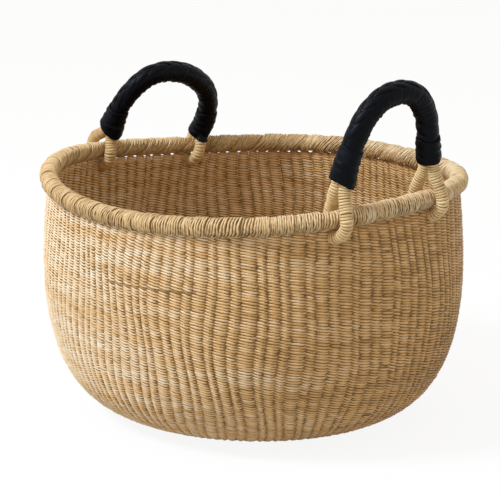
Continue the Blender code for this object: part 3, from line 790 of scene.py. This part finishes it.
class BASKET_OT_handle_straw(bpy.types.Operator):
    """Wind straw round the rope of each handle's feet"""
    bl_idname = "basket.handle_straw"
    bl_label = "Rope and foot wraps"

    def execute(self, context):
        sizes = context.scene.basket_handles
        finish = context.scene.basket_finish
        # A negative share paints the wraps darker towards the lamp's side, as painted shade on the left
        # handle's legs
        straw = straw_material("Split elephant grass, foot wraps", straw_colors(finish, "wrap"), -1.2)
        dark_straw = straw_material("Elephant grass rope", bundle_and_shade_colors(finish))
        for handle in (RIGHT_HANDLE, LEFT_HANDLE):
            shape = HandleShape(handle)
            rope = bmesh.new()
            # The right handle's turns lie a little apart, the left one's overlap and are flatter
            width = sizes.wrap_pitch * (0.92 if handle.side > 0 else 1.25)
            thickness = sizes.wrap_thickness * (1 if handle.side > 0 else 0.5)
            for leg in (-1, 1):
                line = Line(shape.foot_line(leg))
                # Painted shade: the rope under the wraps is painted dark where it shows between turns
                add_rope(rope, shape, line, WRAP_RADIUS - thickness + ROPE_BITE, 90, 12, 0.2)
                wrap = bmesh.new()
                add_winding(wrap, shape, line, WRAP_RADIUS - thickness / 2, sizes.wrap_pitch, width,
                            thickness, 31 + leg + 5 * handle.side)
                place = shape.leg_name(leg)
                shape.add_piece(f"{place}_straw_wrap", wrap, straw, "wrap_straw", [f"{place}_wrap"])
            grip = shape.grip_line([shape.wrap_end(leg) - 2 * MM for leg in (-1, 1)])
            offset = np.where(grip[:, 1] < 0, *(shape.strand_offset(grip[:, 2], leg) for leg in (-1, 1)))
            for face in (-1, 1):
                line = Line(grip + np.stack([face * offset, 0 * offset, 0 * offset], -1), (1, 0, 0))
                add_rope(rope, shape, line, ROPE_RADIUS, 60, 10, 1)
            shape.add_piece("straw_rope", rope, dark_straw, "core_straw", ["rope"])
        return {"FINISHED"}


def pushed_off(points, line, distance):
    """Points that lie at least a distance from a line."""
    apart = points[:, None] - line[None]
    gaps = np.linalg.norm(apart, axis=-1)
    nearest = gaps.argmin(1)
    every = np.arange(len(points))
    push = np.maximum(distance / gaps[every, nearest], 1) - 1
    return points + apart[every, nearest] * push[:, None]


def mouth_height(foot, turn):
    """Height of a cuff's lower edge at a turn round the leg."""
    lowness = (1 + np.cos(turn - foot.low_turn)) / 2
    return foot.mouth + foot.rise - foot.dip * lowness ** foot.sharpness


def stadium(turn, offset, radius):
    """Distance from the middle of a pair of legs to the line round both. A quarter turn faces one of them."""
    across, along = np.abs(np.sin(turn)), np.abs(np.cos(turn))
    round_part = offset * across + np.sqrt(np.maximum(radius ** 2 - (offset * along) ** 2, 0))
    flat_part = radius / np.maximum(along, 0.001)
    return np.where(offset * along < radius * across, round_part, flat_part)


# Sleeve: depth of the bulges under the grip, spacing and depth of the gathers on its flanks, other unevenness
BULGE_DEPTH = 0.8 * MM
GATHER_SPACING = 3.4 * MM
GATHER_DEPTH = 0.24 * MM
SLEEVE_WANDER = 0.18 * MM
# Lengths of leather after which a sleeve's and a cuff's unevenness repeat
SLEEVE_REPEAT = 300 * MM
CUFF_REPEAT = 30 * MM
# Lacing: how deep a lobe starts in the sleeve, how high it rises off that, and half its thickness
LOBE_DEPTH = 0.3 * MM
LOBE_RISE = 0.8 * MM
LOBE_HALF_THICKNESS = 0.6 * MM
# Cuff: half its thickness, its room over the legs' and the grip's line, unevenness of its top, spacing and
# depth of its creases and of the finer ones, and how far its faces are pushed off the legs where these spread
CUFF_HALF_THICKNESS = 0.7 * MM
ROOM_OVER_LEGS = 0.5 * MM
ROOM_OVER_GRIP = 0.8 * MM
CUFF_TOP_WANDER = 1.5 * MM
CREASE_SPACING = 9 * MM
CREASE_DEPTH = 0.4 * MM
FINE_CREASE_DEPTH = 0.35 * MM
OUTSIDE_PUSH = 1.1 * MM
INSIDE_PUSH = 0.2 * MM


class BASKET_OT_leather(bpy.types.Operator):
    """Cover the grips with a leather sleeve, its lacing and two cuffs"""
    bl_idname = "basket.leather"
    bl_label = "Leather"

    def execute(self, context):
        sizes = context.scene.basket_handles
        leather = leather_material("Dyed goat leather", context.scene.basket_finish.leather)
        for handle in (RIGHT_HANDLE, LEFT_HANDLE):
            shape = HandleShape(handle)
            self.make_sleeve(shape, sizes, leather)
            self.make_lacing(shape, sizes, leather)
            for leg in (-1, 1):
                self.make_cuff(shape, leg, leather)
        return {"FINISHED"}

    def make_sleeve(self, shape, sizes, leather):
        """Leather tube over the grip, gathered on its inner side."""
        line = Line(shape.grip_line([shape.wrap_end(leg) for leg in (-1, 1)]), (1, 0, 0))
        seed = 50 + shape.handle.side

        def surface(length_share, turn_share):
            turn = math.tau * turn_share
            place = line.length * length_share
            inner = np.clip(-np.cos(turn), 0, 1)
            flank = np.clip(1 - np.abs(np.cos(turn) + 0.45) / 0.5, 0, 1)
            middle = np.clip(1 - np.abs(2 * length_share - 1) / 0.8, 0, 1) ** 0.5
            uneven = wander(place, seed, (9, 14, 23), SLEEVE_REPEAT)
            bulge = np.sin(math.tau * place / sizes.pucker_length + 1.5 * uneven)
            gather = np.sin(math.tau * place / GATHER_SPACING + 2 * np.sin(turn * 2) + 3 * uneven)
            radius = shape.grip_radius(length_share) + BULGE_DEPTH * (bulge - 0.5) * inner ** 1.5
            radius = radius + GATHER_DEPTH * gather * flank * middle
            slanting_place = place + turn * 4 * MM
            radius = radius + SLEEVE_WANDER * wander(slanting_place, seed + 1, (21, 34, 55), SLEEVE_REPEAT)
            points = shape.world(line.surface(place, turn, radius * pinched(length_share, 0.004)))
            return points, np.stack([place, SLEEVE_GIRTH * turn_share], -1)
        sleeve = bmesh.new()
        tube(sleeve, 260, 40, surface)
        shape.add_piece("leather_sleeve", sleeve, leather, "leather",
                        ["sleeve", "upper_packing", "lower_packing"])

    def make_lacing(self, shape, sizes, leather):
        """Plait of leather strips along the arch's outside, whose lobes overlap by turns on either side."""
        lows = [foot.mouth + foot.cuff - 4 * MM for foot in shape.handle.feet]
        line = Line(shape.grip_line(lows), (1, 0, 0))
        lobes = int(line.length / sizes.plait_length * 2) - 2
        random = np.random.default_rng(70 + shape.handle.side)
        lacing = bmesh.new()
        for lobe in range(lobes):
            sign = 1 if lobe % 2 else -1
            start = line.length * (lobe + 0.2) / (lobes + 2)
            long, wide, high = 1 + 0.10 * random.standard_normal(3)

            def surface(length_share, turn_share, start=start, sign=sign, long=long, wide=wide, high=high):
                around = math.tau * turn_share
                fine = np.clip(np.sin(math.pi * length_share), 0, 1) ** 0.45
                place = np.clip(start + length_share * 1.45 * sizes.plait_length * long, 0, line.length)
                turn = sign * (0.10 + 0.62 * length_share ** 1.3 + 0.32 * wide * fine * np.sin(around))
                radius = shape.grip_radius(place / line.length) - LOBE_DEPTH
                radius = radius + LOBE_RISE * high * np.sin(math.pi * length_share ** 0.8)
                radius = radius + LOBE_HALF_THICKNESS * fine * np.cos(around)
                points = shape.world(line.surface(place, turn, radius))
                return points, np.stack([place, STRIP_GIRTH * turn_share], -1)
            tube(lacing, 16, 12, surface)
        shape.add_piece("leather_lacing", lacing, leather, "leather", ["lacing"])

    def make_cuff(self, shape, leg, leather):
        """Leather band over the top of one foot's wraps, creased and with a slanting mouth."""
        foot = shape.foot(leg)
        top = foot.mouth + foot.cuff
        legs_line = shape.foot_line(leg)
        grip = shape.handle.radius - GRIP_TAPER * 0.6 + ROOM_OVER_GRIP
        seed = 60 + 3 * leg + shape.handle.side

        def surface(length_share, turn_share):
            # The turn share runs up the band's outside and down its inside
            turn = math.tau * length_share
            outside = turn_share <= 0.5
            rise = np.where(outside, 2 * turn_share, 2 - 2 * turn_share)
            edge = np.sqrt(np.clip(1 - (2 * rise - 1) ** 8, 0, 1))
            mouth = mouth_height(foot, turn)
            height = mouth + (top + CUFF_TOP_WANDER * np.sin(2 * turn + seed) - mouth) * rise
            legs = stadium(turn, shape.strand_offset(height, leg), WRAP_RADIUS) + ROOM_OVER_LEGS
            over_legs = np.clip((shape.wrap_end(leg) + 3 * MM - height) / (3 * MM), 0, 1)
            radius = grip + np.maximum(legs - grip, 0) * over_legs + foot.flare * (1 - rise) ** 2
            slanting_height = height + 3 * MM * np.sin(turn)
            crease = FINE_CREASE_DEPTH * wander(slanting_height, seed, (3, 5, 8), CUFF_REPEAT)
            crease = crease + CREASE_DEPTH * np.sin(math.tau * height / CREASE_SPACING
                                                    + 2 * np.sin(turn + seed))
            radius = radius + crease * (0.3 + 2.4 * rise * (1 - rise))
            radius = radius + np.where(outside, 1, -1) * CUFF_HALF_THICKNESS * edge
            middle = np.stack([0 * height, shape.leg_middle(height, leg), height], -1)
            ahead = np.stack([0 * height, shape.leg_middle(height + MM, leg), height + MM], -1)
            forward = unit(ahead - middle)
            outward = np.stack([0 * height, forward[:, 2] * leg, -forward[:, 1] * leg], -1)
            points = middle + outward * (radius * np.cos(turn))[:, None]
            points[:, 0] += radius * np.sin(turn)
            # The leather stretches over the legs where they spread
            points = pushed_off(points, legs_line, WRAP_RADIUS + np.where(outside, OUTSIDE_PUSH, INSIDE_PUSH))
            return shape.world(points), np.stack([height, SLEEVE_GIRTH * length_share], -1)
        cuff = bmesh.new()
        tube(cuff, 64, 48, surface)
        place = shape.leg_name(leg)
        shape.add_piece(f"{place}_leather_cuff", cuff, leather, "leather", [f"{place}_cuff"])


# Materials

def add_node(tree, kind, settings=(), links=(), **values):
    """Adds a node with its settings, input values and links from other nodes' outputs."""
    node = tree.nodes.new(kind)
    for name, value in dict(settings).items():
        setattr(node, name, value)
    for name, value in values.items():
        node.inputs[name.replace("_", " ")].default_value = value
    for name, output in dict(links).items():
        tree.links.new(output, node.inputs[name])
    return node


def new_material(name):
    """Empty material with its shader."""
    material = bpy.data.materials.new(name)
    material.use_nodes = True
    return material, material.node_tree, material.node_tree.nodes["Principled BSDF"]


def weighted(tree, outputs):
    """Adds up outputs, each multiplied by its share."""
    total = None
    for output, share in outputs:
        node = add_node(tree, "ShaderNodeMath", {"operation": "MULTIPLY_ADD"}, {0: output})
        node.inputs[1].default_value = share
        node.inputs[2].default_value = 0
        if total:
            tree.links.new(total, node.inputs[2])
        total = node.outputs[0]
    return total


def straw_colors(finish, part):
    """Pale, middle and dark colour of one part's split straw."""
    return [getattr(finish, f"{part}_{tone}") for tone in ("pale", "middle", "dark")]


def bundle_and_shade_colors(finish):
    """Colours of whole straw in bundles, darker than split straw; they also stand for the shade in the gaps
    where the rim's core and the rope show.
    """
    return finish.straw_middle, finish.binding_dark, finish.straw_dark


def straw_material(name, colors, side_light_share=0.8):
    """Grass straw: dull, with a faint shine along its fibres, bleached or stained from straw to straw, and
    with painted light and shade by place and by how deep each straw lies.
    """
    material, tree, shader = new_material(name)
    pale, middle, dark = colors
    own = add_node(tree, "ShaderNodeUVMap", {"uv_map": "Straw"})
    place = add_node(tree, "ShaderNodeTexCoord")

    def noise(source, scales, detail, roughness, flat=True):
        mapping = add_node(tree, "ShaderNodeMapping", links={"Vector": source}, Scale=scales)
        node = add_node(tree, "ShaderNodeTexNoise", {"noise_dimensions": "2D" if flat else "3D"},
                        {"Vector": mapping.outputs["Vector"]}, Scale=1, Detail=detail, Roughness=roughness)
        return node.outputs["Fac"]
    # Fibres about 0.9 mm wide and 14 mm long, drawn coarser than real ones so that they show
    fibres = noise(own.outputs["UV"], (70, 1100, 1), 2, 0.6)
    # Each straw keeps its tone for about 60 mm, and a knot or stain marks it for about 12 mm
    straws = noise(own.outputs["UV"], (16, 60, 1), 2, 0.5)
    marks = noise(own.outputs["UV"], (80, 60, 1), 1, 0.5)
    # Lots of straw with one tone run round the basket in bands a few rows high
    lots = noise(place.outputs["Object"], (3.5, 3.5, 55), 3, 0.55, False)
    # Painted light: straw towards the lamp's side and the top is painted paler, and with a negative share
    # darker, as painted shade
    lit_side = add_node(tree, "ShaderNodeVectorMath", {"operation": "DOT_PRODUCT"}, {0: place.outputs["Object"]})
    lit_side.inputs[1].default_value = PAINTED_LIGHT_SIDE
    tone = weighted(tree, ((straws, 0.75), (marks, 0.4), (lots, 0.8), (fibres, 0.6),
                           (lit_side.outputs["Value"], side_light_share)))
    paleness = add_node(tree, "ShaderNodeMapRange", {"clamp": True}, {"Value": tone}, From_Min=0.70,
                        From_Max=1.90)
    # Painted light and shade: straw that lies open is painted paler and straw that dives between others
    # darker; real stains ride on the same value
    light_and_stain = add_node(tree, "ShaderNodeAttribute", {"attribute_name": "Openness"}).outputs["Fac"]
    painted_level = add_node(tree, "ShaderNodeMapRange", {"clamp": True}, {"Value": light_and_stain}, From_Max=0.7,
                      To_Min=0.65)
    level = add_node(tree, "ShaderNodeMath", {"operation": "MULTIPLY"},
                     {0: paleness.outputs["Result"], 1: painted_level.outputs["Result"]})
    ramp = add_node(tree, "ShaderNodeValToRGB", links={"Fac": level.outputs[0]})
    ramp.color_ramp.elements[0].color = dark
    ramp.color_ramp.elements[1].color = pale
    ramp.color_ramp.elements[1].position = 0.95
    ramp.color_ramp.elements.new(0.45).color = middle
    # Painted shade: the colour is multiplied down where the straw lies deep
    shade = add_node(tree, "ShaderNodeMapRange", {"clamp": True}, {"Value": light_and_stain}, From_Min=-0.5,
                     From_Max=0.4, To_Min=0.25)
    shaded = add_node(tree, "ShaderNodeMix", {"data_type": "RGBA", "blend_type": "MULTIPLY"},
                      {6: ramp.outputs["Color"], 7: shade.outputs["Result"]})
    shaded.inputs[0].default_value = 1
    bump = add_node(tree, "ShaderNodeBump", links={"Height": fibres}, Strength=0.5, Distance=0.25 * MM)
    rough = add_node(tree, "ShaderNodeMapRange", {"clamp": True}, {"Value": fibres}, To_Min=0.42, To_Max=0.65)
    tree.links.new(shaded.outputs[2], shader.inputs["Base Color"])
    tree.links.new(bump.outputs["Normal"], shader.inputs["Normal"])
    tree.links.new(rough.outputs["Result"], shader.inputs["Roughness"])
    shader.inputs["IOR"].default_value = 1.45
    shader.inputs["Specular IOR Level"].default_value = 0.5
    return material


def leather_material(name, color):
    """Thin dyed goat leather: nearly black, with a soft polish that breaks on its pebbled grain, and worn
    patches painted bluish grey as wear and painted sheen.
    """
    material, tree, shader = new_material(name)
    place = add_node(tree, "ShaderNodeTexCoord").outputs["Object"]
    # Grain of about 1.2 mm
    grain = add_node(tree, "ShaderNodeTexVoronoi", {"feature": "SMOOTH_F1"}, {"Vector": place}, Scale=850)
    # Creases of about 7 mm, and worn patches of about 20 mm, painted a bluish grey that also stands for sheen
    fold = add_node(tree, "ShaderNodeTexNoise", links={"Vector": place}, Scale=140, Detail=3, Roughness=0.55)
    wear = add_node(tree, "ShaderNodeTexNoise", links={"Vector": place}, Scale=45, Detail=5, Roughness=0.65)
    height = add_node(tree, "ShaderNodeMath", {"operation": "MULTIPLY_ADD"},
                      {0: fold.outputs["Fac"], 2: grain.outputs["Distance"]})
    height.inputs[1].default_value = 3
    bump = add_node(tree, "ShaderNodeBump", links={"Height": height.outputs[0]}, Strength=0.35,
                    Distance=0.3 * MM)
    rough = add_node(tree, "ShaderNodeMapRange", {"clamp": True}, {"Value": wear.outputs["Fac"]},
                     From_Min=0.3, From_Max=0.7, To_Min=0.38, To_Max=0.55)
    worn_and_sheen = add_node(tree, "ShaderNodeMapRange", {"clamp": True}, {"Value": wear.outputs["Fac"]},
                    From_Min=0.55, From_Max=0.8)
    # Painted sheen and wear: worn patches turn bluish grey
    tint = add_node(tree, "ShaderNodeMix", {"data_type": "RGBA"}, {0: worn_and_sheen.outputs["Result"]})
    tint.inputs[6].default_value = color
    tint.inputs[7].default_value = linear(WORN_SHEEN_LEATHER)
    tree.links.new(tint.outputs[2], shader.inputs["Base Color"])
    tree.links.new(rough.outputs["Result"], shader.inputs["Roughness"])
    tree.links.new(bump.outputs["Normal"], shader.inputs["Normal"])
    shader.inputs["Specular IOR Level"].default_value = 0.10
    shader.inputs["Specular Tint"].default_value = (0.85, 0.92, 1, 1)
    return material


# Stage

def seen_share(tree):
    """1 for rays from the camera and those that gloss or glass sends on, else 0."""
    path = add_node(tree, "ShaderNodeLightPath")
    sent_on = add_node(tree, "ShaderNodeMath", {"operation": "MAXIMUM"},
                       {0: path.outputs["Is Glossy Ray"], 1: path.outputs["Is Transmission Ray"]})
    seen = add_node(tree, "ShaderNodeMath", {"operation": "MAXIMUM"},
                    {0: path.outputs["Is Camera Ray"], 1: sent_on.outputs[0]})
    return seen.outputs[0]


CAMERA_PLACE = (2.1818, -1.5919, 0.8304)
CAMERA_FORWARD = (-0.78645, 0.57269, -0.23133)
CAMERA_RIGHT = (0.58879, 0.80828, -0.0007)
SENSOR_WIDTH = 36
# The large lamp: how far left of the basket it stands in the camera's view, how much nearer, and how high
KEY_LEFT = 2.3
KEY_NEARER = 0.9
KEY_HEIGHT = 2.4
KEY_SIZE = 0.9
KEY_COLOR = (0.90, 1, 1.15)
# Point of the basket that the lamp faces
LIT_PLACE = (0, 0, 0.2)
SKY_COLOR = (1, 0.91, 0.78, 1)
FLOOR_HALF_WIDTH = 30
# How bright the paper shows to the camera by itself, and how much of what the camera sees is that
PAPER_GLOW = 1.06
GLOW_SHARE = 0.85


def placed(name, data, axes, place):
    """Camera or lamp in the scene with given axes at a place."""
    item = bpy.data.objects.new(name, data)
    bpy.context.scene.collection.objects.link(item)
    matrix = np.eye(4)
    matrix[:3, :3] = np.stack(axes, 1)
    matrix[:3, 3] = place
    item.matrix_world = Matrix(matrix.tolist())
    return item


class BASKET_OT_stage(bpy.types.Operator):
    """Set the floor, the lamp, the sky and the camera"""
    bl_idname = "basket.stage"
    bl_label = "Stage"

    def execute(self, context):
        settings = context.scene.basket_stage
        forward = unit(np.array(CAMERA_FORWARD))
        right = unit(np.array(CAMERA_RIGHT))
        self.add_camera(context.scene, settings, forward, right)
        self.add_key_lamp(settings, forward, right)
        self.add_sky(context.scene, settings)
        self.add_floor(context.scene)
        return {"FINISHED"}

    def add_camera(self, scene, settings, forward, right):
        """Camera that sees the basket from its front right, a little above the rim."""
        lens = bpy.data.cameras.new("camera")
        lens.lens = settings.lens
        lens.sensor_width = SENSOR_WIDTH
        scene.camera = placed("camera", lens, (right, np.cross(right, forward), -forward), CAMERA_PLACE)
        scene.view_settings.view_transform = "Standard"

    def add_key_lamp(self, settings, forward, right):
        """Large square lamp that faces the basket's middle."""
        lamp = bpy.data.lights.new("key_lamp", "AREA")
        lamp.size = KEY_SIZE
        lamp.energy = settings.key_power
        lamp.color = KEY_COLOR
        place = -KEY_LEFT * right - KEY_NEARER * forward + np.array((0, 0, KEY_HEIGHT))
        backward = unit(place - np.array(LIT_PLACE))
        across = unit(np.cross((0, 0, 1), backward))
        placed("key_lamp", lamp, (across, np.cross(backward, across), backward), place)

    def add_sky(self, scene, settings):
        """Soft, warm light from all sides, which shows as plain white."""
        world = bpy.data.worlds.new("studio")
        world.use_nodes = True
        tree = world.node_tree
        background = tree.nodes["Background"]
        seen = seen_share(tree)
        level = add_node(tree, "ShaderNodeMapRange", links={"Value": seen}, To_Max=1,
                         To_Min=settings.sky_strength)
        tree.links.new(level.outputs["Result"], background.inputs["Strength"])
        tint = add_node(tree, "ShaderNodeMix", {"data_type": "RGBA"}, {0: seen})
        tint.inputs[6].default_value = SKY_COLOR
        tint.inputs[7].default_value = (1, 1, 1, 1)
        tree.links.new(tint.outputs[2], background.inputs["Color"])
        scene.world = world

    def add_floor(self, scene):
        """White paper that shows nearly plain white and keeps the basket's shadow."""
        shape = bmesh.new()
        bmesh.ops.create_grid(shape, x_segments=1, y_segments=1, size=FLOOR_HALF_WIDTH)
        mesh = bpy.data.meshes.new("floor")
        shape.to_mesh(mesh)
        shape.free()
        floor = bpy.data.objects.new("floor", mesh)
        scene.collection.objects.link(floor)
        material, tree, shader = new_material("Matt white paper")
        shader.inputs["Base Color"].default_value = linear("D0D0D0")
        shader.inputs["Roughness"].default_value = 0.9
        glow = add_node(tree, "ShaderNodeEmission", Color=(1, 1, 1, 1), Strength=PAPER_GLOW)
        share = add_node(tree, "ShaderNodeMapRange", links={"Value": seen_share(tree)}, To_Max=GLOW_SHARE)
        both = add_node(tree, "ShaderNodeMixShader",
                        links={0: share.outputs["Result"], 1: shader.outputs[0], 2: glow.outputs[0]})
        tree.links.new(both.outputs[0], tree.nodes["Material Output"].inputs["Surface"])
        mesh.materials.append(material)


OPERATORS = (BASKET_OT_weave, BASKET_OT_stakes, BASKET_OT_rim, BASKET_OT_handle_straw, BASKET_OT_leather,
             BASKET_OT_stage)
SETTINGS = {"basket_weave": WeaveSettings, "basket_rim": RimSettings, "basket_handles": HandleSettings,
            "basket_finish": FinishSettings, "basket_stage": StageSettings}


class BASKET_PT_panel(bpy.types.Panel):
    """Lists the basket's settings and the steps that make it"""
    bl_idname = "BASKET_PT_panel"
    bl_label = "Bolga basket"
    bl_space_type = "VIEW_3D"
    bl_region_type = "UI"
    bl_category = "Basket"

    def draw(self, context):
        for name, group in SETTINGS.items():
            box = self.layout.box()
            for item in group.__annotations__:
                box.prop(getattr(context.scene, name), item)
        for operator in OPERATORS:
            self.layout.operator(operator.bl_idname)


def register():
    for group in (*SETTINGS.values(), *OPERATORS, BASKET_PT_panel):
        bpy.utils.register_class(group)
    for name, group in SETTINGS.items():
        setattr(bpy.types.Scene, name, PointerProperty(type=group))


def unregister():
    for name in SETTINGS:
        delattr(bpy.types.Scene, name)
    for group in reversed((*SETTINGS.values(), *OPERATORS, BASKET_PT_panel)):
        bpy.utils.unregister_class(group)


def main():
    register()
    bpy.ops.basket.weave()
    bpy.ops.basket.stakes()
    bpy.ops.basket.rim()
    bpy.ops.basket.handle_straw()
    bpy.ops.basket.leather()
    bpy.ops.basket.stage()


if __name__ == "__main__":
    main()
